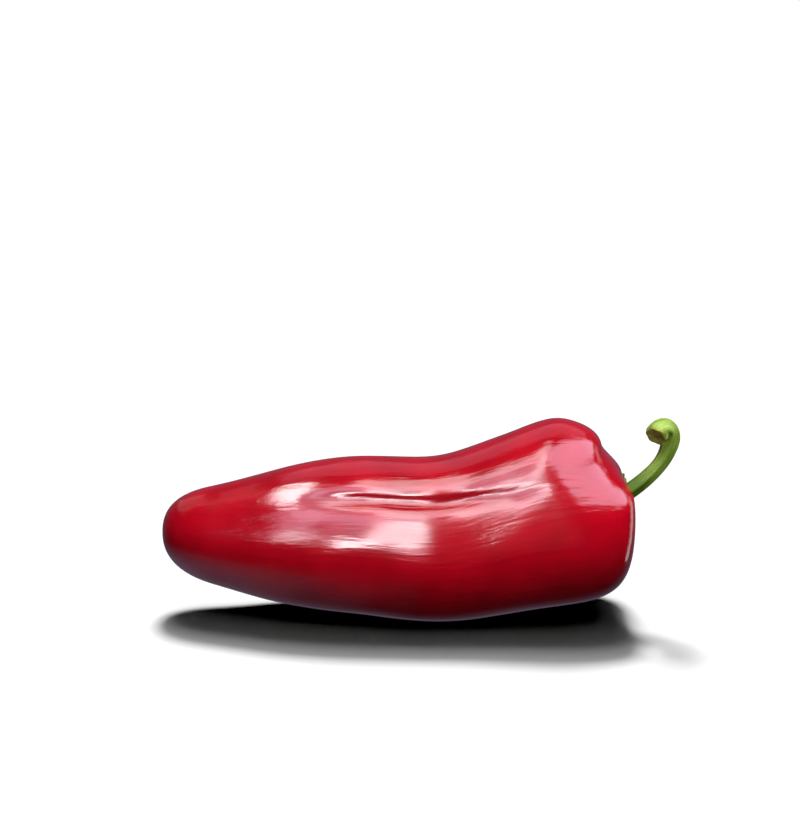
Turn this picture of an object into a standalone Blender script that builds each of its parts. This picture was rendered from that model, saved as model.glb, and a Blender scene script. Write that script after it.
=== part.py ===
"""Kapia pepper lying on its side: the red pod, and the green stem with its calyx.

Both pieces are turned about X and then warped. The pod's warp adds three lobes, the
furrows between them, a top lobe that ends short of the others, a hollow for the calyx
and a bent middle line. The stem's warp bends it along its own line and lays the calyx
in the hollow. Lengths are in metres. X runs from the tip to the stem, -Y is the front
and Z is up. Angles round either piece start at -Y and turn towards +Z.
"""

import math
from typing import NamedTuple

import bmesh
import bpy
import numpy as np

MM = 0.001

# Places along the pod count from its tip. This place on the table goes to the origin.
FRAME_CENTRE = (81.9 * MM, 2.6 * MM, 2.55 * MM)

# The pod's middle line and its mean radius, as (distance from the tip, value) stations.
MIDDLE_HEIGHT = (
    (0.0, 27.4 * MM),
    (14.0 * MM, 26.9 * MM),
    (36.0 * MM, 26.9 * MM),
    (64.0 * MM, 27.2 * MM),
    (90.0 * MM, 26.4 * MM),
    (106.0 * MM, 29.1 * MM),
    (122.0 * MM, 32.3 * MM),
    (150.0 * MM, 34.8 * MM),
)
MIDDLE_DEPTH = (
    (0.0, 4.0 * MM),
    (40.0 * MM, 0.6 * MM),
    (64.0 * MM, -0.6 * MM),
    (88.0 * MM, -1.2 * MM),
    (106.0 * MM, 0.9 * MM),
    (126.0 * MM, 3.2 * MM),
    (150.0 * MM, 3.8 * MM),
)
MEAN_RADIUS = (
    (0.0, 13.0 * MM),
    (13.0 * MM, 14.9 * MM),
    (36.0 * MM, 20.8 * MM),
    (64.0 * MM, 24.8 * MM),
    (90.0 * MM, 26.2 * MM),
    (106.0 * MM, 27.9 * MM),
    (126.0 * MM, 28.8 * MM),
    (150.0 * MM, 28.9 * MM),
)

# The turned profile's ends: a round tip, a square shoulder and the hollow for the calyx.
TIP_DOME = 14.0 * MM
SHOULDER_START = 126.0 * MM
POD_END = 149.0 * MM
SHOULDER_SQUARENESS = 2.85
CREST_RADIUS = 12.5 * MM
HOLLOW_DEPTH = 7.0 * MM
HOLLOW_LIFT = 4.0 * MM

# Three lobes, as a share of the radius. The top one ends short of the other two.
LOBE_SHARE = (
    (0.0, 0.0),
    (20.0 * MM, 0.02),
    (64.0 * MM, 0.045),
    (100.0 * MM, 0.055),
    (126.0 * MM, 0.075),
    (150.0 * MM, 0.075),
)
TOP_LOBE_ANGLE = math.radians(90.0)
TOP_SETBACK = 9.3 * MM
SETBACK_HEIGHTS = (4.0 * MM, 19.0 * MM)
SETBACK_PLACES = (108.0 * MM, 142.0 * MM)


class Furrow(NamedTuple):
    """A groove between two lobes.

    The path gives its angle at places along the pod. It deepens from starts to full and
    shallows from fades to ends. Its sides are as wide as the half widths above and below.
    """

    path: tuple
    starts: float
    full: float
    fades: float
    ends: float
    depth: float
    above: float
    below: float


FURROWS = (
    Furrow(
        path=(
            (45.0 * MM, math.radians(46.0)),
            (64.0 * MM, math.radians(46.0)),
            (96.0 * MM, math.radians(43.0)),
            (111.0 * MM, math.radians(38.0)),
            (125.0 * MM, math.radians(36.0)),
            (150.0 * MM, math.radians(40.0)),
        ),
        starts=42.0 * MM,
        full=64.0 * MM,
        fades=90.0 * MM,
        ends=132.0 * MM,
        depth=1.5 * MM,
        above=1.75 * MM,
        below=3.8 * MM,
    ),
    Furrow(
        path=((60.0 * MM, math.radians(158.0)), (150.0 * MM, math.radians(151.0))),
        starts=60.0 * MM,
        full=100.0 * MM,
        fades=150.0 * MM,
        ends=200.0 * MM,
        depth=1.2 * MM,
        above=4.5 * MM,
        below=4.5 * MM,
    ),
    Furrow(
        path=((30.0 * MM, math.radians(270.0)), (150.0 * MM, math.radians(270.0))),
        starts=30.0 * MM,
        full=80.0 * MM,
        fades=150.0 * MM,
        ends=200.0 * MM,
        depth=1.4 * MM,
        above=5.0 * MM,
        below=5.0 * MM,
    ),
)
CREST_DIP = 1.3 * MM
CREST_DIP_HALF_ANGLE = math.radians(24.0)

# The stem's middle line, in the pod's own places, from the hollow to the cut end.
STEM_LINE = (
    (140.6 * MM, 3.3 * MM, 37.6 * MM),
    (144.9 * MM, 3.2 * MM, 39.1 * MM),
    (149.8 * MM, 3.0 * MM, 42.2 * MM),
    (155.0 * MM, 2.4 * MM, 46.9 * MM),
    (158.9 * MM, 1.8 * MM, 52.1 * MM),
    (160.5 * MM, 1.3 * MM, 56.4 * MM),
    (160.7 * MM, 0.8 * MM, 59.8 * MM),
    (159.3 * MM, -0.3 * MM, 62.0 * MM),
    (157.2 * MM, -2.0 * MM, 61.9 * MM),
    (155.6 * MM, -4.0 * MM, 60.5 * MM),
)

# The calyx, a thin ribbed disc with points, and the stalk's radius by share of its length.
CALYX_RADIUS = 7.2 * MM
CALYX_THICKNESS = 1.3 * MM
CALYX_GAP = 0.6 * MM
CALYX_POINTS = 6
POINT_SHARE = 0.11
RIB_SHARE = 0.05
STALK_RADIUS = (
    (0.10, 3.3 * MM),
    (0.15, 2.85 * MM),
    (0.25, 2.55 * MM),
    (0.40, 2.45 * MM),
    (0.60, 2.5 * MM),
    (0.72, 2.9 * MM),
    (0.80, 3.2 * MM),
    (0.88, 3.5 * MM),
    (0.97, 3.7 * MM),
)
SCAR_DEPTH = 0.6 * MM

# On the inside of a bend the stalk's skin stays within this share of the bend's radius.
BEND_SHARE = 0.7

POD_STEPS = 72
POD_RINGS = {"tip": 6, "body": 24, "shoulder": 9, "hollow": 6}
STEM_STEPS = 36
STEM_RINGS = {"calyx": 6, "stalk": 24}

POD_COLOUR = (0.45, 0.006, 0.012, 1.0)
STEM_COLOUR = (0.16, 0.28, 0.03, 1.0)


def smooth_curve(stations):
    """The natural cubic spline through (place, value) stations, as a function."""
    place, value = (np.array(column, float) for column in zip(*stations))
    step = np.diff(place)
    rows = np.eye(len(place))
    bend = np.zeros(len(place))
    for i in range(1, len(place) - 1):
        rows[i, i - 1 : i + 2] = step[i - 1], 2 * (step[i - 1] + step[i]), step[i]
        bend[i] = 6 * ((value[i + 1] - value[i]) / step[i] - (value[i] - value[i - 1]) / step[i - 1])
    bend = np.linalg.solve(rows, bend)

    def curve(at):
        at = np.asarray(at, float)
        i = np.clip(np.searchsorted(place, at) - 1, 0, len(step) - 1)
        after = at - place[i]
        before = place[i + 1] - at
        cubic = (bend[i] * before**3 + bend[i + 1] * after**3) / (6 * step[i])
        start = value[i] / step[i] - bend[i] * step[i] / 6
        end = value[i + 1] / step[i] - bend[i + 1] * step[i] / 6
        return cubic + start * before + end * after

    return curve


middle_height = smooth_curve(MIDDLE_HEIGHT)
middle_depth = smooth_curve(MIDDLE_DEPTH)
mean_radius = smooth_curve(MEAN_RADIUS)
lobe_share = smooth_curve(LOBE_SHARE)
stalk_radius = smooth_curve(STALK_RADIUS)


def ramp(low, high, value):
    """0 below low, 1 above high, and a smooth rise between them."""
    share = np.clip((value - low) / (high - low), 0.0, 1.0)
    return share * share * (3 - 2 * share)


def angle_from(angle, centre):
    """The turn from centre to angle, between minus and plus half a turn."""
    return (angle - centre + math.pi) % math.tau - math.pi


def hollow_place(out):
    """How far along the pod the hollow's floor lies, at a distance from its centre."""
    return POD_END - HOLLOW_DEPTH * (1 + np.cos(math.pi * out / CREST_RADIUS)) / 2


def pod_surface(along, out, angle):
    """Warps points of the turned pod, given as distance along, distance out and angle."""
    mean = mean_radius(along)
    over_end = ramp(0.0, 1.0, (mean - out) / (mean - CREST_RADIUS))
    over = np.where(along > SHOULDER_START, over_end, 0.0)
    rim = ramp(0.0, 1.0, out / CREST_RADIUS)
    radius = out * (1 + rim * lobe_share(along) * np.cos(3 * (angle - TOP_LOBE_ANGLE)))
    dip = np.zeros_like(radius)
    for furrow in FURROWS:
        turn = angle_from(angle, smooth_curve(furrow.path)(along))
        half_width = np.where(turn > 0, furrow.above, furrow.below)
        section = np.exp(-((turn * mean / half_width) ** 2))
        fade = ramp(furrow.starts, furrow.full, along) * ramp(furrow.ends, furrow.fades, along)
        radius = radius - (1 - over) * furrow.depth * fade * section
        dip = dip + CREST_DIP * np.exp(-((turn / CREST_DIP_HALF_ANGLE) ** 2))
    height = radius * np.sin(angle)
    setback = TOP_SETBACK * ramp(*SETBACK_HEIGHTS, height) * ramp(*SETBACK_PLACES, along)
    return np.stack(
        [
            along - setback - dip * over * rim,
            middle_depth(along) - radius * np.cos(angle),
            middle_height(along) + height + HOLLOW_LIFT * over,
        ],
        axis=-1,
    )


def pod_profile(tip, body, shoulder, hollow):
    """The turned profile as (along, out) points, with that many steps in each stretch."""
    points = []
    for turn in np.linspace(0, math.pi / 2, tip, endpoint=False):
        along = TIP_DOME * (1 - math.cos(turn))
        points.append((along, mean_radius(along) * math.sin(turn)))
    for along in np.linspace(TIP_DOME, SHOULDER_START, body, endpoint=False):
        points.append((along, mean_radius(along)))
    side = mean_radius(SHOULDER_START)
    power = 2 / SHOULDER_SQUARENESS
    for turn in np.linspace(0, math.pi / 2, shoulder, endpoint=False):
        along = SHOULDER_START + (POD_END - SHOULDER_START) * math.sin(turn) ** power
        points.append((along, CREST_RADIUS + (side - CREST_RADIUS) * math.cos(turn) ** power))
    for out in np.linspace(CREST_RADIUS, 0, hollow + 1):
        points.append((hollow_place(out), out))
    return points


def stem_curve():
    """The stem's middle line as a function of the distance along it, and its length."""
    line = np.array(STEM_LINE)
    chords = np.linalg.norm(np.diff(line, axis=0), axis=1)
    place = np.concatenate([[0.0], np.cumsum(chords)])
    axes = [smooth_curve(list(zip(place, line[:, axis]))) for axis in range(3)]
    return (lambda at: np.stack([axis(at) for axis in axes], axis=-1)), place[-1]


def direction(line, at, step):
    """The unit tangent of a middle line, read over a short step."""
    ahead = line(at + step) - line(at)
    return ahead / np.linalg.norm(ahead, axis=-1, keepdims=True)


def stem_profile(length, calyx, stalk):
    """The turned profile of calyx, stalk and cut end, as (along, out) points."""
    edge = CALYX_THICKNESS / 2
    first, neck = STALK_RADIUS[0]
    last, head = STALK_RADIUS[-1]
    points = [(0.0, out) for out in np.linspace(0, CALYX_RADIUS - edge, calyx)]
    points.append((edge, CALYX_RADIUS))
    for share in np.linspace(0, 1, calyx, endpoint=False):
        rise = (first * length - CALYX_THICKNESS) * share**3
        out = CALYX_RADIUS - edge + (neck - CALYX_RADIUS + edge) * share
        points.append((CALYX_THICKNESS + rise, out))
    for share in np.linspace(first, last, stalk):
        points.append((share * length, stalk_radius(share)))
    points.append((length - 0.1 * SCAR_DEPTH, 0.9 * head))
    points.append((length, 0.76 * head))
    points.append((length - 0.7 * SCAR_DEPTH, 0.42 * head))
    points.append((length - SCAR_DEPTH, 0.0))
    return points


def stem_surface(along, out, angle):
    """Warps points of the turned stem: the calyx follows the hollow, the stalk its line."""
    line, length = stem_curve()
    step = 0.1 * MM
    point = line(along)
    tangent = direction(line, along, step)
    bend = (direction(line, along + step, step) - tangent) / step
    front = np.array([0.0, -1.0, 0.0]) + tangent * tangent[..., 1:2]
    front = front / np.linalg.norm(front, axis=-1, keepdims=True)
    above = np.cross(front, tangent)
    wave = np.cos(CALYX_POINTS * angle)
    rim = ramp(0.5 * CALYX_RADIUS, CALYX_RADIUS, out)
    ribs = RIB_SHARE * ramp(CALYX_THICKNESS, 2 * CALYX_THICKNESS, along) * (1 - rim)
    ribbed = out * (1 + ribs * wave)
    across = front * np.cos(angle)[..., None] + above * np.sin(angle)[..., None]
    offset = ribbed[..., None] * across
    inward = np.maximum((offset * bend).sum(axis=-1, keepdims=True), 0.0)
    spare = inward - BEND_SHARE * np.tanh(inward / BEND_SHARE)
    on_line = point + offset - spare * bend / ((bend**2).sum(axis=-1, keepdims=True) + 1)
    spread = out * (1 + rim * POINT_SHARE * wave)
    outward = (line(step) - line(0.0)) / step
    on_floor = pod_surface(hollow_place(spread), spread, angle)
    in_hollow = on_floor + (CALYX_GAP + along)[..., None] * outward
    leaves = ramp(0.8 * CALYX_THICKNESS, STALK_RADIUS[1][0] * length, along)[..., None]
    return in_hollow * (1 - leaves) + on_line * leaves


def turned(name, profile, steps, warp):
    """Turns a profile about X, warps it, moves it to the part's frame and makes an object."""
    body = bmesh.new()
    points = [body.verts.new((along, -out, 0.0)) for along, out in profile]
    edges = [body.edges.new(pair) for pair in zip(points, points[1:])]
    bmesh.ops.spin(
        body,
        geom=points + edges,
        cent=(0, 0, 0),
        axis=(1, 0, 0),
        angle=math.tau,
        steps=steps,
        use_merge=True,
    )
    bmesh.ops.remove_doubles(body, verts=body.verts, dist=0.01 * MM)
    bmesh.ops.recalc_face_normals(body, faces=body.faces)
    place = np.array([vert.co for vert in body.verts])
    out = np.hypot(place[:, 1], place[:, 2])
    angle = np.arctan2(place[:, 2], -place[:, 1])
    warped = warp(place[:, 0], out, angle) - np.array(FRAME_CENTRE)
    # The pod is flattened by less than half a millimetre where it rests on the table.
    warped[:, 2] = np.maximum(warped[:, 2], 0.0)
    for vert, spot in zip(body.verts, warped):
        vert.co = spot
    mesh = bpy.data.meshes.new(name)
    body.to_mesh(mesh)
    body.free()
    mesh.shade_smooth()
    made = bpy.data.objects.new(name, mesh)
    bpy.context.scene.collection.objects.link(made)
    return made


def skin(name, colour, roughness):
    """A plain Principled material of that colour and roughness."""
    material = bpy.data.materials.new(name)
    material.use_nodes = True
    shader = material.node_tree.nodes["Principled BSDF"]
    shader.inputs["Base Color"].default_value = colour
    shader.inputs["Roughness"].default_value = roughness
    return material


def main():
    for obj in list(bpy.data.objects):
        bpy.data.objects.remove(obj)
    pod = turned("pod", pod_profile(**POD_RINGS), POD_STEPS, pod_surface)
    pod.data.materials.append(skin("pod_skin", POD_COLOUR, 0.25))
    _, length = stem_curve()
    stem = turned("stem_and_calyx", stem_profile(length, **STEM_RINGS), STEM_STEPS, stem_surface)
    stem.data.materials.append(skin("stem_skin", STEM_COLOUR, 0.5))


if __name__ == "__main__":
    main()
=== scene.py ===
"""Looks of a kapia pepper lying on its side, on a plain white floor in soft light.

The pod and the stem with its calyx replace the two solids of the frame. Each is turned
about X and warped in the way the solids are, with many more faces and with the low
ripples and ribs of the real skin. The form classes hold lengths in millimetres, and
places along the pod count from its tip. A mesh becomes metres, in the frame, when it is
made. Angles round a piece start at the front, -Y, and turn towards +Z.
"""

import logging
import math
from collections.abc import Callable
from dataclasses import dataclass, field
from enum import Enum
from typing import Any

import bmesh
import bpy
import numpy as np
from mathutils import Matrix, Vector


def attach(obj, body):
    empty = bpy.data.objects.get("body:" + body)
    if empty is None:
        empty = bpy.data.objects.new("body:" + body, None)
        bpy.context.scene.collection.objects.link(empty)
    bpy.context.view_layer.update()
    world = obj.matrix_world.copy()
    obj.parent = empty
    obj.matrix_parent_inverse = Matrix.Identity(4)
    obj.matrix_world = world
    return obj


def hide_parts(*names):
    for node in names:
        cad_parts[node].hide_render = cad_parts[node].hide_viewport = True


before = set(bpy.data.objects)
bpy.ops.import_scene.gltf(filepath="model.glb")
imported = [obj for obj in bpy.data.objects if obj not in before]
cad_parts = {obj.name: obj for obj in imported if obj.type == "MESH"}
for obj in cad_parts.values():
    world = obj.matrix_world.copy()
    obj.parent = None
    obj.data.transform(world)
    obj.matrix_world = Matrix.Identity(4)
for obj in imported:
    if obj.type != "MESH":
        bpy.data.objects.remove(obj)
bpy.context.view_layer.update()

MM = 0.001

# Places along the pod count from its tip. This place on the table goes to the origin.
FRAME_CENTRE = (81.9, 2.6, 2.55)

# Daylight through a window, next to the warmer lamps.
COOL = (1.0, 0.92, 1.2)

logger = logging.getLogger("kapia_pepper")

Curve = Callable[[Any], np.ndarray]
Stations = tuple[tuple[float, float], ...]


class Slot(Enum):
    """The record's material slots."""

    POD = "pod_skin"
    STEM = "green_stem"


class Use(Enum):
    """What a light gives the pepper: only its reflection in the skin, or only shading."""

    REFLECTION = "reflection"
    SHADING = "shading"


class Pattern(Enum):
    """Mesh attributes that the materials read."""

    GROWN = "grown"
    FURROW = "furrow"
    SCAR = "scar"
    STALK = "stalk"


def smooth_curve(stations: Stations) -> Curve:
    """Fits the natural cubic spline through stations.

    Args:
        stations: (place, value) pairs in rising order of place.

    Returns:
        A function that gives the value at one place or at an array of places.
    """
    place, value = (np.array(column, float) for column in zip(*stations))
    step = np.diff(place)
    rows = np.eye(len(place))
    bend = np.zeros(len(place))
    for i in range(1, len(place) - 1):
        rows[i, i - 1 : i + 2] = step[i - 1], 2 * (step[i - 1] + step[i]), step[i]
        bend[i] = 6 * ((value[i + 1] - value[i]) / step[i] - (value[i] - value[i - 1]) / step[i - 1])
    bend = np.linalg.solve(rows, bend)

    def curve(at: Any) -> np.ndarray:
        """The spline's value at those places."""
        at = np.asarray(at, float)
        i = np.clip(np.searchsorted(place, at) - 1, 0, len(step) - 1)
        after = at - place[i]
        before = place[i + 1] - at
        cubic = (bend[i] * before**3 + bend[i + 1] * after**3) / (6 * step[i])
        start = value[i] / step[i] - bend[i] * step[i] / 6
        end = value[i + 1] / step[i] - bend[i + 1] * step[i] / 6
        return cubic + start * before + end * after

    return curve


def ramp(low: float, high: float, value: Any) -> np.ndarray:
    """0 below low, 1 above high, and a smooth rise between them."""
    share = np.clip((value - low) / (high - low), 0.0, 1.0)
    return share * share * (3 - 2 * share)


def angle_from(angle: Any, centre: Any) -> np.ndarray:
    """The turn from centre to angle, between minus and plus half a turn."""
    return (angle - centre + math.pi) % math.tau - math.pi


def linear(hex_colour: str) -> tuple[float, float, float, float]:
    """Turns an sRGB hex colour such as "#BC0D1F" into linear RGBA."""
    channels = []
    for start in (1, 3, 5):
        value = int(hex_colour[start : start + 2], 16) / 255
        channels.append(value / 12.92 if value <= 0.04045 else ((value + 0.055) / 1.055) ** 2.4)
    return (*channels, 1.0)


def add_node(
    tree: bpy.types.NodeTree,
    kind: str,
    settings: dict[str | int, Any] | None = None,
    links: dict[str | int, bpy.types.NodeSocket] | None = None,
) -> bpy.types.Node:
    """Adds a shader node.

    Args:
        tree: The material's or world's node tree.
        kind: The node's type name.
        settings: Input values by socket name or number, and other settings by name.
        links: Output sockets by the input, name or number, that each one feeds.

    Returns:
        The new node.
    """
    node = tree.nodes.new(kind)
    for name, value in (settings or {}).items():
        if isinstance(name, int) or name in node.inputs:
            node.inputs[name].default_value = value
        else:
            setattr(node, name, value)
    for name, socket in (links or {}).items():
        tree.links.new(socket, node.inputs[name])
    return node


def colour_ramp(
    tree: bpy.types.NodeTree,
    factor: bpy.types.NodeSocket,
    stops: tuple[tuple[float, str], ...],
) -> bpy.types.NodeSocket:
    """Maps a factor to colours given as (place, sRGB hex) stops and returns the colour socket."""
    node = add_node(tree, "ShaderNodeValToRGB", links={"Fac": factor})
    elements = node.color_ramp.elements
    while len(elements) < len(stops):
        elements.new(1.0)
    for element, (place, colour) in zip(elements, stops):
        element.position = place
        element.color = linear(colour)
    return node.outputs["Color"]


def mixed(
    tree: bpy.types.NodeTree,
    factor: bpy.types.NodeSocket,
    first: bpy.types.NodeSocket,
    second: bpy.types.NodeSocket | str,
) -> bpy.types.NodeSocket:
    """Blends from the first colour to the second, a socket or an sRGB hex, by the factor."""
    node = add_node(tree, "ShaderNodeMix", {"data_type": "RGBA"}, {0: factor, 6: first})
    if isinstance(second, str):
        node.inputs[7].default_value = linear(second)
    else:
        tree.links.new(second, node.inputs[7])
    return node.outputs[2]


def map_range(
    tree: bpy.types.NodeTree,
    value: bpy.types.NodeSocket,
    source: tuple[float, float],
    target: tuple[float, float] = (0.0, 1.0),
) -> bpy.types.NodeSocket:
    """Maps a value from one range to another, clamped, and returns the result's socket."""
    limits = {
        "From Min": source[0],
        "From Max": source[1],
        "To Min": target[0],
        "To Max": target[1],
    }
    return add_node(tree, "ShaderNodeMapRange", limits, {"Value": value}).outputs["Result"]


@dataclass(frozen=True)
class Furrow:
    """A furrow between two lobes: its angle in degrees at places along, and its section."""

    path: Stations
    starts: float
    full: float
    fades: float
    ends: float
    depth: float
    half_width_above: float
    half_width_below: float


@dataclass
class Turned:
    """What every turned and warped piece shares."""

    name: str = "piece"
    node: str = ""
    slot: Slot = Slot.POD
    steps: int = 64

    def profile(self) -> list[tuple[float, float]]:
        """The (along, out) points of the piece before it is warped."""
        raise NotImplementedError

    def surface(self, along: np.ndarray, out: np.ndarray, angle: np.ndarray) -> np.ndarray:
        """Where points of the turned profile lie on the finished piece."""
        raise NotImplementedError

    def patterns(
        self, along: np.ndarray, out: np.ndarray, angle: np.ndarray
    ) -> dict[Pattern, np.ndarray]:
        """The values that the piece's material reads, one for each point."""
        grown = np.stack([along, -out * np.cos(angle), out * np.sin(angle)], axis=-1) * MM
        return {Pattern.GROWN: grown}

    def build(self) -> bpy.types.Object:
        """Turns the profile about X, warps it and links the finished object.

        Returns:
            The new object, which rides on the frame and replaces its node.
        """
        body = bmesh.new()
        points = [body.verts.new((along, -out, 0.0)) for along, out in self.profile()]
        edges = [body.edges.new(pair) for pair in zip(points, points[1:])]
        bmesh.ops.spin(
            body,
            geom=points + edges,
            cent=(0, 0, 0),
            axis=(1, 0, 0),
            angle=math.tau,
            steps=self.steps,
            use_merge=True,
        )
        bmesh.ops.remove_doubles(body, verts=body.verts, dist=0.002)
        bmesh.ops.recalc_face_normals(body, faces=body.faces)
        place = np.array([vert.co for vert in body.verts])
        out = np.hypot(place[:, 1], place[:, 2])
        angle = np.arctan2(place[:, 2], -place[:, 1])
        warped = self.surface(place[:, 0], out, angle) - np.array(FRAME_CENTRE)
        # The pod is flattened by less than half a millimetre where it rests on the table.
        warped[:, 2] = np.maximum(warped[:, 2], 0.0)
        for vert, spot in zip(body.verts, warped * MM):
            vert.co = spot
        mesh = bpy.data.meshes.new(self.name)
        body.to_mesh(mesh)
        body.free()
        mesh.shade_smooth()
        for pattern, values in self.patterns(place[:, 0], out, angle).items():
            kind = "FLOAT_VECTOR" if values.ndim == 2 else "FLOAT"
            attribute = mesh.attributes.new(pattern.value, kind, "POINT")
            attribute.data.foreach_set("vector" if values.ndim == 2 else "value", values.ravel())
        made = bpy.data.objects.new(self.name, mesh)
        bpy.context.scene.collection.objects.link(made)
        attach(made, "root")
        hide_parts(self.node)
        return made


@dataclass
class Pod(Turned):
    """The red fruit body: three lobes, furrows, a blunt tip and a hollow at the stem end."""

    name: str = "pepper_pod"
    node: str = "pod"
    slot: Slot = Slot.POD
    steps: int = 288
    middle_height: Stations = (
        (0, 27.4), (14, 26.9), (36, 26.9), (64, 27.2), (90, 26.4), (106, 29.1), (122, 32.3),
        (150, 34.8),
    )
    middle_depth: Stations = (
        (0, 5.6), (20, 2.5), (40, 0.6), (64, -0.6), (76, -1.1), (86, -1.25), (96, 0.1), (106, 1.5),
        (126, 3.1), (150, 3.8),
    )
    mean_radius: Stations = (
        (0, 13.0), (13, 14.9), (36, 20.8), (64, 24.8), (90, 26.2), (106, 27.9), (126, 28.8),
        (150, 28.9),
    )
    lobe_share: Stations = (
        (0, 0.0), (20, 0.02), (64, 0.045), (100, 0.055), (126, 0.075), (150, 0.075)
    )
    top_lobe: float = 90.0
    tip_dome: float = 17.0
    tip_squareness: float = 2.4
    shoulder_start: float = 126.0
    end: float = 149.0
    squareness: float = 2.85
    crest_radius: float = 12.5
    hollow_depth: float = 7.0
    hollow_lift: float = 4.0
    hollow_floor: float = 0.4
    top_setback: float = 9.3
    setback_heights: tuple[float, float] = (4.0, 19.0)
    setback_places: tuple[float, float] = (108.0, 142.0)
    crest_dip: float = 1.3
    crest_dip_half_angle: float = 24.0
    furrows: tuple[Furrow, ...] = (
        Furrow(
            path=((45, 46), (64, 46), (96, 43), (111, 38), (125, 36), (150, 40)),
            starts=42,
            full=64,
            fades=90,
            ends=132,
            depth=1.5,
            half_width_above=1.75,
            half_width_below=3.8,
        ),
        Furrow(
            path=((60, 158), (150, 151)),
            starts=60,
            full=100,
            fades=150,
            ends=200,
            depth=1.2,
            half_width_above=4.5,
            half_width_below=4.5,
        ),
        Furrow(
            path=((30, 270), (150, 270)),
            starts=30,
            full=80,
            fades=150,
            ends=200,
            depth=1.4,
            half_width_above=5.0,
            half_width_below=5.0,
        ),
    )
    ripple_height: float = 0.05
    ripple_count: int = 16
    ripple_lengths: tuple[float, float] = (18, 70)
    ripple_waves: tuple[int, int] = (2, 10)
    ripple_start: tuple[float, float] = (4.0, 40.0)
    ripple_seed: int = 11
    tip_rows: int = 30
    body_rows: int = 150
    shoulder_rows: int = 48
    hollow_rows: int = 24

    def __post_init__(self) -> None:
        """Fits the curves that the warp reads, and draws the ripples."""
        self.height_at = smooth_curve(self.middle_height)
        self.depth_at = smooth_curve(self.middle_depth)
        self.radius_at = smooth_curve(self.mean_radius)
        self.lobe_at = smooth_curve(self.lobe_share)
        self.furrow_paths = [smooth_curve(furrow.path) for furrow in self.furrows]
        draw = np.random.default_rng(self.ripple_seed)
        self.ripples = [
            (
                draw.uniform(*self.ripple_lengths),
                int(draw.integers(*self.ripple_waves)),
                draw.uniform(0, math.tau),
                draw.choice((-1, 1)),
            )
            for _ in range(self.ripple_count)
        ]

    def hollow_place(self, out: Any) -> Any:
        """How far along the hollow's floor lies, at a distance from its centre."""
        return self.end - self.hollow_depth * (1 + np.cos(math.pi * out / self.crest_radius)) / 2

    def profile(self) -> list[tuple[float, float]]:
        """A round tip, the body, a square shoulder and the hollow."""
        points = []
        quarter = math.pi / 2
        power = 2 / self.tip_squareness
        for turn in np.linspace(0, quarter, self.tip_rows, endpoint=False):
            along = self.tip_dome * (1 - math.cos(turn) ** power)
            points.append((along, self.radius_at(along) * math.sin(turn) ** power))
        for along in np.linspace(self.tip_dome, self.shoulder_start, self.body_rows, endpoint=False):
            points.append((along, self.radius_at(along)))
        length = self.end - self.shoulder_start
        height = self.radius_at(self.shoulder_start) - self.crest_radius
        power = 2 / self.squareness
        for turn in np.linspace(0, quarter, self.shoulder_rows, endpoint=False):
            along = self.shoulder_start + length * math.sin(turn) ** power
            points.append((along, self.crest_radius + height * math.cos(turn) ** power))
        for out in np.linspace(self.crest_radius, 0, self.hollow_rows):
            points.append((self.hollow_place(out), out))
        return points

    def over_share(self, along: np.ndarray, out: np.ndarray) -> np.ndarray:
        """0 on the side, rising over the shoulder to 1 on the crest and in the hollow."""
        mean = self.radius_at(along)
        share = ramp(0.0, 1.0, (mean - out) / (mean - self.crest_radius))
        return np.where(along > self.shoulder_start, share, 0.0)

    def furrow_sections(self, along: np.ndarray, angle: np.ndarray) -> list[np.ndarray]:
        """How deep each point lies in each furrow, from 0 to 1."""
        mean = self.radius_at(along)
        sections = []
        for furrow, path in zip(self.furrows, self.furrow_paths):
            turn = angle_from(angle, np.radians(path(along)))
            half_width = np.where(turn > 0, furrow.half_width_above, furrow.half_width_below)
            section = np.exp(-((turn * mean / half_width) ** 2))
            fade = ramp(furrow.starts, furrow.full, along) * ramp(furrow.ends, furrow.fades, along)
            sections.append(section * fade)
        return sections

    def relief(self, along: np.ndarray, angle: np.ndarray) -> np.ndarray:
        """The skin's low ripples, outwards, in mm. The smooth tip has none."""
        height = np.zeros_like(along)
        for length, waves, phase, slant in self.ripples:
            turn = math.tau * along / length * slant + waves * angle + phase
            height += np.sin(turn) / math.sqrt(waves)
        return height * self.ripple_height * ramp(*self.ripple_start, along)

    def surface(self, along: np.ndarray, out: np.ndarray, angle: np.ndarray) -> np.ndarray:
        """Warps the turned pod: lobes, furrows, setback, hollow and bent middle line."""
        over = self.over_share(along, out)
        rim = ramp(0.0, 1.0, out / self.crest_radius)
        lobes = self.lobe_at(along) * np.cos(3 * (angle - math.radians(self.top_lobe)))
        radius = out * (1 + rim * lobes)
        dip = np.zeros_like(radius)
        for furrow, path, section in zip(
            self.furrows, self.furrow_paths, self.furrow_sections(along, angle)
        ):
            radius = radius - (1 - over) * furrow.depth * section
            turn = angle_from(angle, np.radians(path(along)))
            dip += self.crest_dip * np.exp(-((turn / math.radians(self.crest_dip_half_angle)) ** 2))
        outside = (1 - over) * np.minimum(out / self.crest_radius, 1)
        radius = radius + outside * self.relief(along, angle)
        height = radius * np.sin(angle)
        setback = self.top_setback * ramp(*self.setback_heights, height)
        setback = setback * ramp(*self.setback_places, along)
        return np.stack(
            [
                along - setback - dip * over * rim,
                self.depth_at(along) - radius * np.cos(angle),
                self.height_at(along) + height + self.hollow_lift * over,
            ],
            axis=-1,
        )

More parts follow.
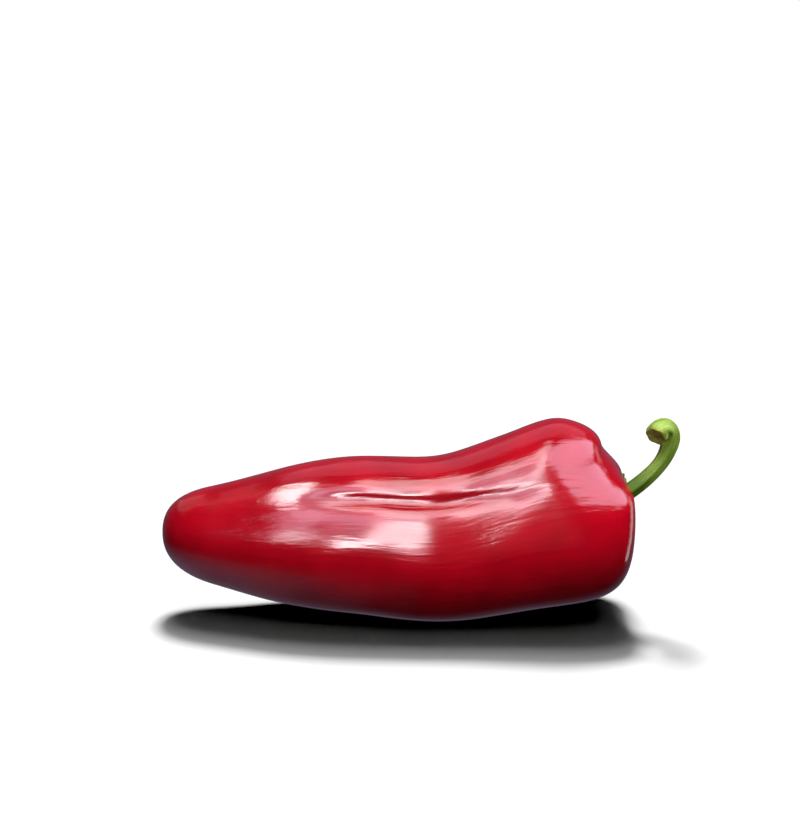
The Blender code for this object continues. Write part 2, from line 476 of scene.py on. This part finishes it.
    def patterns(
        self, along: np.ndarray, out: np.ndarray, angle: np.ndarray
    ) -> dict[Pattern, np.ndarray]:
        """The turned place, and how deep a point lies in a furrow or in the hollow."""
        values = super().patterns(along, out, angle)
        in_furrow = np.max(self.furrow_sections(along, angle), axis=0)
        in_hollow = ramp(self.crest_radius, self.hollow_floor * self.crest_radius, out)
        in_hollow = in_hollow * (along > self.shoulder_start)
        # The skin's painted shade in the furrows and the hollow follows this value.
        values[Pattern.FURROW] = np.maximum(in_furrow, in_hollow)
        return values


@dataclass
class Stem(Turned):
    """The green stalk, its calyx laid in the pod's hollow, and its flared cut end."""

    pod: Pod = field(default_factory=Pod)
    name: str = "pepper_stem"
    node: str = "stem_and_calyx"
    slot: Slot = Slot.STEM
    steps: int = 120
    line: tuple[tuple[float, float, float], ...] = (
        (140.6, 3.3, 37.6),
        (144.9, 3.2, 39.1),
        (149.8, 3.0, 42.2),
        (155.0, 2.4, 46.9),
        (158.9, 1.8, 52.1),
        (160.5, 1.3, 56.4),
        (160.7, 0.8, 59.8),
        (159.3, -0.3, 62.0),
        (157.2, -2.0, 61.9),
        (155.6, -4.0, 60.5),
    )
    calyx_radius: float = 7.2
    calyx_thickness: float = 1.3
    calyx_gap: float = 0.6
    points: int = 6
    point_share: float = 0.11
    points_start: float = 0.5
    rib_share: float = 0.05
    ribs_full: float = 2.0
    leaving_start: float = 0.8
    stalk_radius: Stations = (
        (0.10, 3.3), (0.15, 2.85), (0.25, 2.55), (0.40, 2.45), (0.60, 2.48),
        (0.72, 2.87), (0.80, 3.17), (0.88, 3.47), (0.97, 3.68),
    )
    scar_depth: float = 0.6
    # The cut end, as shares of the scar's depth below the head and of the head's radius.
    scar_profile: Stations = (
        (0.1, 0.9), (0.0, 0.82), (0.0, 0.74), (0.35, 0.6), (0.7, 0.42), (0.9, 0.22), (1.0, 0.0)
    )
    scar_start: float = 0.97
    scar_edge: tuple[float, float] = (0.95, 0.82)
    bend_share: float = 0.7
    step: float = 0.1
    disc_rows: int = 16
    edge_rows: int = 7
    flare_rows: int = 24
    stalk_rows: int = 90

    def __post_init__(self) -> None:
        """Fits the stalk's middle line and radius."""
        line = np.array(self.line)
        chords = np.linalg.norm(np.diff(line, axis=0), axis=1)
        place = np.concatenate([[0.0], np.cumsum(chords)])
        self.axes = [smooth_curve(tuple(zip(place, line[:, axis]))) for axis in range(3)]
        self.length = place[-1]
        self.radius_at = smooth_curve(self.stalk_radius)

    def middle(self, at: Any) -> np.ndarray:
        """The point of the middle line at a distance along it."""
        return np.stack([axis(at) for axis in self.axes], axis=-1)

    def direction(self, at: Any) -> np.ndarray:
        """The middle line's unit tangent."""
        ahead = self.middle(at + self.step) - self.middle(at)
        return ahead / np.linalg.norm(ahead, axis=-1, keepdims=True)

    def profile(self) -> list[tuple[float, float]]:
        """The calyx, the stalk and the cut end."""
        edge = self.calyx_thickness / 2
        first, neck = self.stalk_radius[0]
        last, head = self.stalk_radius[-1]
        disc = self.calyx_radius - edge
        points = [(0.0, out) for out in np.linspace(0, disc, self.disc_rows)]
        for turn in np.linspace(0, math.pi, self.edge_rows)[1:-1]:
            points.append((edge - edge * math.cos(turn), disc + edge * math.sin(turn)))
        for share in np.linspace(0, 1, self.flare_rows, endpoint=False):
            rise = (first * self.length - self.calyx_thickness) * share**3
            points.append((self.calyx_thickness + rise, disc + (neck - disc) * share))
        for share in np.linspace(first, last, self.stalk_rows):
            points.append((share * self.length, self.radius_at(share)))
        for depth, width in self.scar_profile:
            points.append((self.length - depth * self.scar_depth, width * head))
        return points

    def surface(self, along: np.ndarray, out: np.ndarray, angle: np.ndarray) -> np.ndarray:
        """Warps the turned stem: the calyx follows the hollow, the stalk its own line."""
        point = self.middle(along)
        tangent = self.direction(along)
        bend = (self.direction(along + self.step) - tangent) / self.step
        front = np.array([0.0, -1.0, 0.0]) + tangent * tangent[..., 1:2]
        front = front / np.linalg.norm(front, axis=-1, keepdims=True)
        above = np.cross(front, tangent)
        wave = np.cos(self.points * angle)
        rim = ramp(self.points_start * self.calyx_radius, self.calyx_radius, out)
        on_top = ramp(self.calyx_thickness, self.ribs_full * self.calyx_thickness, along)
        ribbed = out * (1 + self.rib_share * on_top * (1 - rim) * wave)
        across = front * np.cos(angle)[..., None] + above * np.sin(angle)[..., None]
        offset = ribbed[..., None] * across
        inward = np.maximum((offset * bend).sum(axis=-1, keepdims=True), 0.0)
        spare = inward - self.bend_share * np.tanh(inward / self.bend_share)
        on_line = point + offset - spare * bend / ((bend**2).sum(axis=-1, keepdims=True) + 1e-6)
        spread = out * (1 + rim * self.point_share * wave)
        outward = (self.middle(self.step) - self.middle(0.0)) / self.step
        on_floor = self.pod.surface(self.pod.hollow_place(spread), spread, angle)
        in_hollow = on_floor + (self.calyx_gap + along)[..., None] * outward
        top = self.stalk_radius[1][0] * self.length
        leaves = ramp(self.leaving_start * self.calyx_thickness, top, along)[..., None]
        return in_hollow * (1 - leaves) + on_line * leaves

    def patterns(
        self, along: np.ndarray, out: np.ndarray, angle: np.ndarray
    ) -> dict[Pattern, np.ndarray]:
        """The turned place, the cut scar, and how far up the stalk a point lies."""
        values = super().patterns(along, out, angle)
        head = self.stalk_radius[-1][1]
        outer, inner = self.scar_edge
        at_end = along > self.scar_start * self.length
        values[Pattern.SCAR] = ramp(outer * head, inner * head, out) * at_end
        values[Pattern.STALK] = ramp(self.calyx_thickness, self.length, along)
        return values


@dataclass(frozen=True)
class WaxySkin:
    """Ripe pepper skin: red flesh under a clear waxy cuticle, as both grew.

    The flesh lets light in a little, which gives the deep red. The wax alone mirrors the
    lights, as a wet gloss that low streaks along the fruit break up. Real skin cells are
    about 0.05 mm wide, too fine to show, so the grain is drawn at 0.35 mm.
    """

    flesh: str = "#B6041A"
    deep: str = "#A60216"
    bright: str = "#C2061E"
    # Painted shade: the skin is drawn darker in the furrows and in the hollow at the stem end.
    furrow_shade: str = "#8C0412"
    streak_mm: float = 1.6
    streak_length_mm: float = 30.0
    streak_range: tuple[float, float] = (0.45, 0.75)
    streak_share: float = 0.35
    streak_relief_mm: float = 0.14
    streak_strength: float = 0.8
    mottle_mm: float = 14.0
    mottle_range: tuple[float, float] = (0.3, 0.7)
    grain_mm: float = 0.35
    grain_relief_mm: float = 0.02
    grain_strength: float = 0.2
    furrow_shade_share: float = 0.45
    roughness_range: tuple[float, float] = (0.28, 0.42)
    scatter: float = 0.12
    scatter_reach: tuple[float, float, float] = (1.0, 0.18, 0.12)
    scatter_mm: float = 2.5
    coat_roughness: float = 0.125
    coat_ior: float = 1.5

    def material(self) -> bpy.types.Material:
        """Builds the skin's node material."""
        material = bpy.data.materials.new("waxy_pepper_skin")
        material.use_nodes = True
        tree = material.node_tree
        shader = tree.nodes["Principled BSDF"]
        grown = add_node(tree, "ShaderNodeAttribute", {"attribute_name": Pattern.GROWN.value})
        furrow = add_node(tree, "ShaderNodeAttribute", {"attribute_name": Pattern.FURROW.value})
        # Streaks of colour run along the fruit, as the flesh grew.
        along = 1 / (self.streak_length_mm * MM)
        across = 1 / (self.streak_mm * MM)
        stretched = add_node(
            tree,
            "ShaderNodeMapping",
            {"Scale": (along, across, across)},
            {"Vector": grown.outputs["Vector"]},
        )
        streaks = add_node(
            tree,
            "ShaderNodeTexNoise",
            {"Scale": 1.0, "Detail": 3.0, "Roughness": 0.55},
            {"Vector": stretched.outputs["Vector"]},
        )
        # Broad soft patches, where the fruit ripened sooner or later.
        mottle = add_node(
            tree,
            "ShaderNodeTexNoise",
            {"Scale": 1 / (self.mottle_mm * MM), "Detail": 2.0},
            {"Vector": grown.outputs["Vector"]},
        )
        base = colour_ramp(
            tree, mottle.outputs["Fac"], ((0.30, self.deep), (0.50, self.flesh), (0.72, self.bright))
        )
        streak_share = map_range(
            tree, streaks.outputs["Fac"], self.streak_range, (0.0, self.streak_share)
        )
        base = mixed(tree, streak_share, base, self.deep)
        # Painted shade: darker red in the furrows and in the hollow at the stem end, by how deep a
        # point lies in them.
        furrow_shade_share = map_range(tree, furrow.outputs["Fac"], (0.0, 1.0), (0.0, self.furrow_shade_share))
        base = mixed(tree, furrow_shade_share, base, self.furrow_shade)
        tree.links.new(base, shader.inputs["Base Color"])
        # The flesh under the wax is a little duller in patches.
        dull = map_range(tree, mottle.outputs["Fac"], self.mottle_range, self.roughness_range)
        tree.links.new(dull, shader.inputs["Roughness"])
        grain = add_node(
            tree,
            "ShaderNodeTexNoise",
            {"Scale": 1 / (self.grain_mm * MM), "Detail": 2.0},
            {"Vector": grown.outputs["Vector"]},
        )
        streak_bump = add_node(
            tree,
            "ShaderNodeBump",
            {"Strength": self.streak_strength, "Distance": self.streak_relief_mm * MM},
            {"Height": streaks.outputs["Fac"]},
        )
        grain_bump = add_node(
            tree,
            "ShaderNodeBump",
            {"Strength": self.grain_strength, "Distance": self.grain_relief_mm * MM},
            {"Height": grain.outputs["Fac"], "Normal": streak_bump.outputs["Normal"]},
        )
        for normal in ("Normal", "Coat Normal"):
            tree.links.new(grain_bump.outputs["Normal"], shader.inputs[normal])
        # Where the wax touches the flesh, nothing is mirrored: the gloss is the coat's.
        shader.inputs["Specular IOR Level"].default_value = 0.0
        shader.inputs["Subsurface Weight"].default_value = self.scatter
        shader.inputs["Subsurface Radius"].default_value = self.scatter_reach
        shader.inputs["Subsurface Scale"].default_value = self.scatter_mm * MM
        shader.inputs["Coat Weight"].default_value = 1.0
        shader.inputs["Coat Roughness"].default_value = self.coat_roughness
        shader.inputs["Coat IOR"].default_value = self.coat_ior
        return material


@dataclass(frozen=True)
class GreenStem:
    """Fresh green stalk, finely ribbed as it grew, with a corky scar where it was cut.

    Thin fibres run along it, which gives it a satin look of light and dark green lines. The
    scar is dry and dull. The calyx and the stalk's foot are a darker green.
    """

    light: str = "#AAC656"
    mid: str = "#A2C24C"
    dark: str = "#76982E"
    calyx: str = "#557618"
    scar: str = "#E6D25A"
    scar_dark: str = "#A89838"
    fibre_mm: float = 0.5
    fibre_length_mm: float = 9.0
    fibre_relief_mm: float = 0.15
    fibre_strength: float = 0.5
    patches_per_metre: float = 260.0
    patch_relief_mm: float = 0.2
    patch_strength: float = 0.3
    calyx_share: float = 0.9
    calyx_reach: tuple[float, float] = (0.2, 0.46)
    roughness: float = 0.42
    scar_roughness: float = 0.85
    specular: float = 0.2
    scatter: float = 0.1
    scatter_reach: tuple[float, float, float] = (0.4, 0.6, 0.15)
    scatter_mm: float = 1.0

    def material(self) -> bpy.types.Material:
        """Builds the stem's node material."""
        material = bpy.data.materials.new("fresh_green_stem")
        material.use_nodes = True
        tree = material.node_tree
        shader = tree.nodes["Principled BSDF"]
        grown = add_node(tree, "ShaderNodeAttribute", {"attribute_name": Pattern.GROWN.value})
        scar = add_node(tree, "ShaderNodeAttribute", {"attribute_name": Pattern.SCAR.value})
        stalk = add_node(tree, "ShaderNodeAttribute", {"attribute_name": Pattern.STALK.value})
        along = 1 / (self.fibre_length_mm * MM)
        across = 1 / (self.fibre_mm * MM)
        stretched = add_node(
            tree,
            "ShaderNodeMapping",
            {"Scale": (along, across, across)},
            {"Vector": grown.outputs["Vector"]},
        )
        fibres = add_node(
            tree,
            "ShaderNodeTexNoise",
            {"Scale": 1.0, "Detail": 3.0},
            {"Vector": stretched.outputs["Vector"]},
        )
        patches = add_node(
            tree,
            "ShaderNodeTexNoise",
            {"Scale": self.patches_per_metre, "Detail": 3.0},
            {"Vector": grown.outputs["Vector"]},
        )
        base = colour_ramp(
            tree, fibres.outputs["Fac"], ((0.3, self.dark), (0.5, self.mid), (0.68, self.light))
        )
        calyx_share = map_range(tree, stalk.outputs["Fac"], self.calyx_reach, (self.calyx_share, 0.0))
        base = mixed(tree, calyx_share, base, self.calyx)
        cut = colour_ramp(tree, patches.outputs["Fac"], ((0.35, self.scar_dark), (0.6, self.scar)))
        base = mixed(tree, scar.outputs["Fac"], base, cut)
        tree.links.new(base, shader.inputs["Base Color"])
        rough = map_range(tree, scar.outputs["Fac"], (0.0, 1.0), (self.roughness, self.scar_roughness))
        tree.links.new(rough, shader.inputs["Roughness"])
        fibre_bump = add_node(
            tree,
            "ShaderNodeBump",
            {"Strength": self.fibre_strength, "Distance": self.fibre_relief_mm * MM},
            {"Height": fibres.outputs["Fac"]},
        )
        patch_bump = add_node(
            tree,
            "ShaderNodeBump",
            {"Strength": self.patch_strength, "Distance": self.patch_relief_mm * MM},
            {"Height": patches.outputs["Fac"], "Normal": fibre_bump.outputs["Normal"]},
        )
        tree.links.new(patch_bump.outputs["Normal"], shader.inputs["Normal"])
        shader.inputs["Specular IOR Level"].default_value = self.specular
        shader.inputs["Subsurface Weight"].default_value = self.scatter
        shader.inputs["Subsurface Radius"].default_value = self.scatter_reach
        shader.inputs["Subsurface Scale"].default_value = self.scatter_mm * MM
        return material


@dataclass(frozen=True)
class Panel:
    """A rectangular soft light. Places and sizes are in metres and turns in degrees.

    Unturned it faces down. A tilt of 90 stands it upright, and it then faces the pepper from
    the front. The glow is the light's own brightness, where lit white paper is 1.
    """

    name: str
    middle: tuple[float, float, float]
    size: tuple[float, float]
    turns: tuple[float, float, float]
    glow: float
    tint: tuple[float, float, float] = (1.0, 1.0, 1.0)
    use: Use = Use.REFLECTION

    def build(self, receivers: bpy.types.Collection) -> bpy.types.Object:
        """Makes the light.

        Args:
            receivers: The collection of the pieces that it lights, and that alone.

        Returns:
            The light.
        """
        data = bpy.data.lights.new(self.name, "AREA")
        data.shape = "RECTANGLE"
        data.size, data.size_y = self.size
        data.energy = self.glow * math.pi * self.size[0] * self.size[1]
        data.color = self.tint
        light = bpy.data.objects.new(self.name, data)
        light.location = self.middle
        light.rotation_euler = [math.radians(turn) for turn in self.turns]
        light.visible_camera = False
        light.visible_diffuse = self.use is Use.SHADING
        light.visible_glossy = self.use is Use.REFLECTION
        light.light_linking.receiver_collection = receivers
        bpy.context.scene.collection.objects.link(light)
        logger.info("light %s", self.name)
        return light


@dataclass
class Studio:
    """The white floor, the soft lights and the plain bright surroundings.

    The panels light the pepper alone and the suns the floor alone. Each sun is its elevation
    and spread in degrees and its strength. Narrow to wide, they make the shadow's soft edge.
    """

    floor_size: float = 12.0
    floor_colour: str = "#F4F4F4"
    floor_roughness: float = 0.9
    bounce_down: tuple[float, float] = (-0.35, -0.8)
    bounce_left: tuple[float, float] = (-0.1, -0.7)
    behind: tuple[float, float] = (0.3, 0.9)
    fill_glow: float = 0.02
    back_glow: float = 0.2
    bounce_glow: float = 0.7
    bounce_colour: str = "#E8D0F4"
    panels: tuple[Panel, ...] = (
        Panel("ceiling_middle", (-0.36, -0.62, 1.0), (0.62, 0.95), (0, 0, 0), 2.6, COOL),
        Panel("ceiling_glow", (-0.09, -0.14, 0.99), (0.17, 0.36), (0, 0, -24), 6.5),
        Panel("ceiling_right", (0.79, -0.01, 1.0), (1.8, 0.78), (0, 0, 40), 5.4, COOL),
        Panel("ceiling_strip", (-0.07, -0.57, 0.99), (0.09, 0.54), (0, 0, -2), 10.0),
        Panel("ceiling_strip_front", (-0.15, -1.55, 0.99), (0.085, 1.3), (0, 0, -4), 12.0),
        Panel("ceiling_left_strip", (-0.5, -0.15, 0.99), (0.17, 0.50), (0, 0, -10), 21.0),
        Panel("ceiling_back", (0.15, 0.7, 1.0), (1.3, 0.9), (0, 0, 0), 0.6, COOL),
        Panel("window_left", (-1.78, -2.5, 1.9), (1.3, 2.0), (90, 0, 0), 3.6, COOL),
        Panel("window_left_top", (-2.1, -2.5, 3.8), (2.0, 1.8), (90, 0, 0), 3.6, COOL),
        Panel("window_left_foot", (-1.6, -2.49, 1.12), (0.85, 0.8), (90, 24, 0), 6.0),
        Panel("window_right", (-0.58, -2.5, 2.4), (0.9, 3.7), (90, 0, 0), 2.4, COOL),
        Panel("window_right_foot", (-0.64, -2.49, 0.92), (0.5, 0.55), (90, 20, 0), 24.0),
        Panel("window_edge", (-0.32, -2.48, 1.7), (0.18, 1.6), (90, 2, 0), 14.0),
        Panel("rim_right", (1.6, 0.75, 0.0), (0.5, 1.8), (90, 0, 115), 2.2),
        Panel("rim_left", (-1.5, 1.2, 1.7), (2.0, 1.6), (90, 0, -90), 0.45),
        Panel("shading", (0.29, -0.61, 1.45), (1.4, 1.2), (25, 0, 25), 7.0, use=Use.SHADING),
        Panel("front_shading", (0.0, -2.0, 0.4), (1.0, 0.8), (78, 0, 0), 3.0, use=Use.SHADING),
    )
    suns: tuple[tuple[float, float, float], ...] = (
        (51.5, 12.0, 3.5), (62.0, 28.0, 1.15), (92.0, 70.0, 0.2)
    )

    def floor(self) -> bpy.types.Object:
        """A large floor of matt white paper, which mirrors nothing, under the pepper."""
        body = bmesh.new()
        bmesh.ops.create_grid(body, x_segments=1, y_segments=1, size=self.floor_size / 2)
        mesh = bpy.data.meshes.new("floor")
        body.to_mesh(mesh)
        body.free()
        material = bpy.data.materials.new("matt_white_paper")
        material.use_nodes = True
        shader = material.node_tree.nodes["Principled BSDF"]
        shader.inputs["Base Color"].default_value = linear(self.floor_colour)
        shader.inputs["Roughness"].default_value = self.floor_roughness
        shader.inputs["Specular IOR Level"].default_value = 0.0
        mesh.materials.append(material)
        made = bpy.data.objects.new("floor", mesh)
        bpy.context.scene.collection.objects.link(made)
        # The surroundings' bounce is what the pepper gets of the floor.
        made.visible_diffuse = False
        made.visible_glossy = False
        return made

    def surroundings(self) -> None:
        """White where the camera looks, and a dim fill for what the pepper mirrors.

        Low on the left it mirrors a brighter bounce, as off the floor, and a little behind it.
        """
        world = bpy.data.worlds.new("plain_surroundings")
        world.use_nodes = True
        tree = world.node_tree
        background = tree.nodes["Background"]
        path = add_node(tree, "ShaderNodeLightPath")
        place = add_node(tree, "ShaderNodeTexCoord")
        way = add_node(tree, "ShaderNodeSeparateXYZ", links={0: place.outputs["Generated"]})
        down = map_range(tree, way.outputs["Z"], self.bounce_down)
        left = map_range(tree, way.outputs["X"], self.bounce_left)
        behind = map_range(tree, way.outputs["Y"], self.behind, (self.fill_glow, self.back_glow))
        bounce = add_node(tree, "ShaderNodeMath", {"operation": "MULTIPLY"}, {0: down, 1: left})
        around = add_node(
            tree,
            "ShaderNodeMath",
            {"operation": "MULTIPLY_ADD", 1: self.bounce_glow},
            {0: bounce.outputs["Value"], 2: behind},
        )
        seen = path.outputs["Is Camera Ray"]
        glow = add_node(
            tree,
            "ShaderNodeMath",
            {"operation": "MULTIPLY_ADD"},
            {0: around.outputs["Value"], 1: path.outputs["Is Glossy Ray"], 2: seen},
        )
        tint = add_node(tree, "ShaderNodeMix", {"data_type": "RGBA"}, {0: seen})
        tint.inputs[6].default_value = linear(self.bounce_colour)
        tint.inputs[7].default_value = (1.0, 1.0, 1.0, 1.0)
        tree.links.new(tint.outputs[2], background.inputs["Color"])
        tree.links.new(glow.outputs["Value"], background.inputs["Strength"])
        bpy.context.scene.world = world

    def sun(
        self, elevation: float, spread: float, strength: float, floor: bpy.types.Collection
    ) -> None:
        """Makes a light that whitens the floor and casts the pepper's shadow on it.

        Args:
            elevation: Its height above the horizon in degrees, from behind the pepper.
            spread: How wide it is in the sky, in degrees.
            strength: Its strength.
            floor: The collection of what it lights, and that alone.
        """
        data = bpy.data.lights.new("overhead", "SUN")
        data.energy = strength
        data.angle = math.radians(spread)
        # The pepper is hidden from diffuse rays, so only shadow rays may look for this light.
        data.cycles.use_multiple_importance_sampling = False
        light = bpy.data.objects.new("overhead", data)
        light.rotation_euler = (math.radians(elevation - 90), 0.0, 0.0)
        light.visible_glossy = False
        light.light_linking.receiver_collection = floor
        bpy.context.scene.collection.objects.link(light)

    def build(self, pieces: list[bpy.types.Object]) -> None:
        """Makes the floor, the surroundings and the lights.

        Args:
            pieces: The pepper's pieces.
        """
        stage = bpy.data.collections.new("stage")
        stage.objects.link(self.floor())
        self.surroundings()
        for elevation, spread, strength in self.suns:
            self.sun(elevation, spread, strength, stage)
        receivers = bpy.data.collections.new("pepper")
        for piece in pieces:
            receivers.objects.link(piece)
            # So the pepper throws no red light on the white floor, as in the photograph.
            piece.visible_diffuse = False
        for panel in self.panels:
            panel.build(receivers)


@dataclass
class PhotoCamera:
    """A camera that sees the pepper as the photograph does.

    The pepper's middle is shown at a pixel of the photograph, away from the frame's centre.
    """

    frame_size: tuple[int, int] = (800, 837)
    lens: float = 85.0
    sensor: float = 36.0
    elevation: float = 12.0
    mm_per_pixel: float = 0.318
    middle: tuple[float, float, float] = (0.0, 0.0, 0.028)
    middle_pixel: tuple[float, float] = (419.0, 524.2)

    def build(self) -> bpy.types.Object:
        """Places the camera and makes it the scene's camera."""
        data = bpy.data.cameras.new("photo_camera")
        data.lens = self.lens
        data.sensor_width = self.sensor
        camera = bpy.data.objects.new("photo_camera", data)
        width, height = self.frame_size
        distance = self.lens / self.sensor * max(width, height) * self.mm_per_pixel * MM
        rise = math.radians(self.elevation)
        back = Vector((0.0, -math.cos(rise), math.sin(rise)))
        up = Vector((0.0, math.sin(rise), math.cos(rise)))
        right = Vector((1.0, 0.0, 0.0))
        aside = (self.middle_pixel[0] - width / 2) * self.mm_per_pixel * MM
        below = (self.middle_pixel[1] - height / 2) * self.mm_per_pixel * MM
        camera.location = Vector(self.middle) + back * distance - right * aside + up * below
        camera.rotation_euler = (math.pi / 2 - rise, 0.0, 0.0)
        bpy.context.scene.collection.objects.link(camera)
        bpy.context.scene.camera = camera
        return camera


def main() -> None:
    """Builds the pepper, the studio and the camera in order."""
    logging.basicConfig(level=logging.INFO, format="%(name)s: %(message)s")
    PhotoCamera().build()
    pod_form = Pod()
    pod = pod_form.build()
    pod.data.materials.append(WaxySkin().material())
    logger.info("piece %s, %d faces", pod.name, len(pod.data.polygons))
    stem = Stem(pod=pod_form).build()
    stem.data.materials.append(GreenStem().material())
    logger.info("piece %s, %d faces", stem.name, len(stem.data.polygons))
    Studio().build([pod, stem])
    bpy.context.scene.view_settings.view_transform = "Standard"


if __name__ == "__main__":
    main()
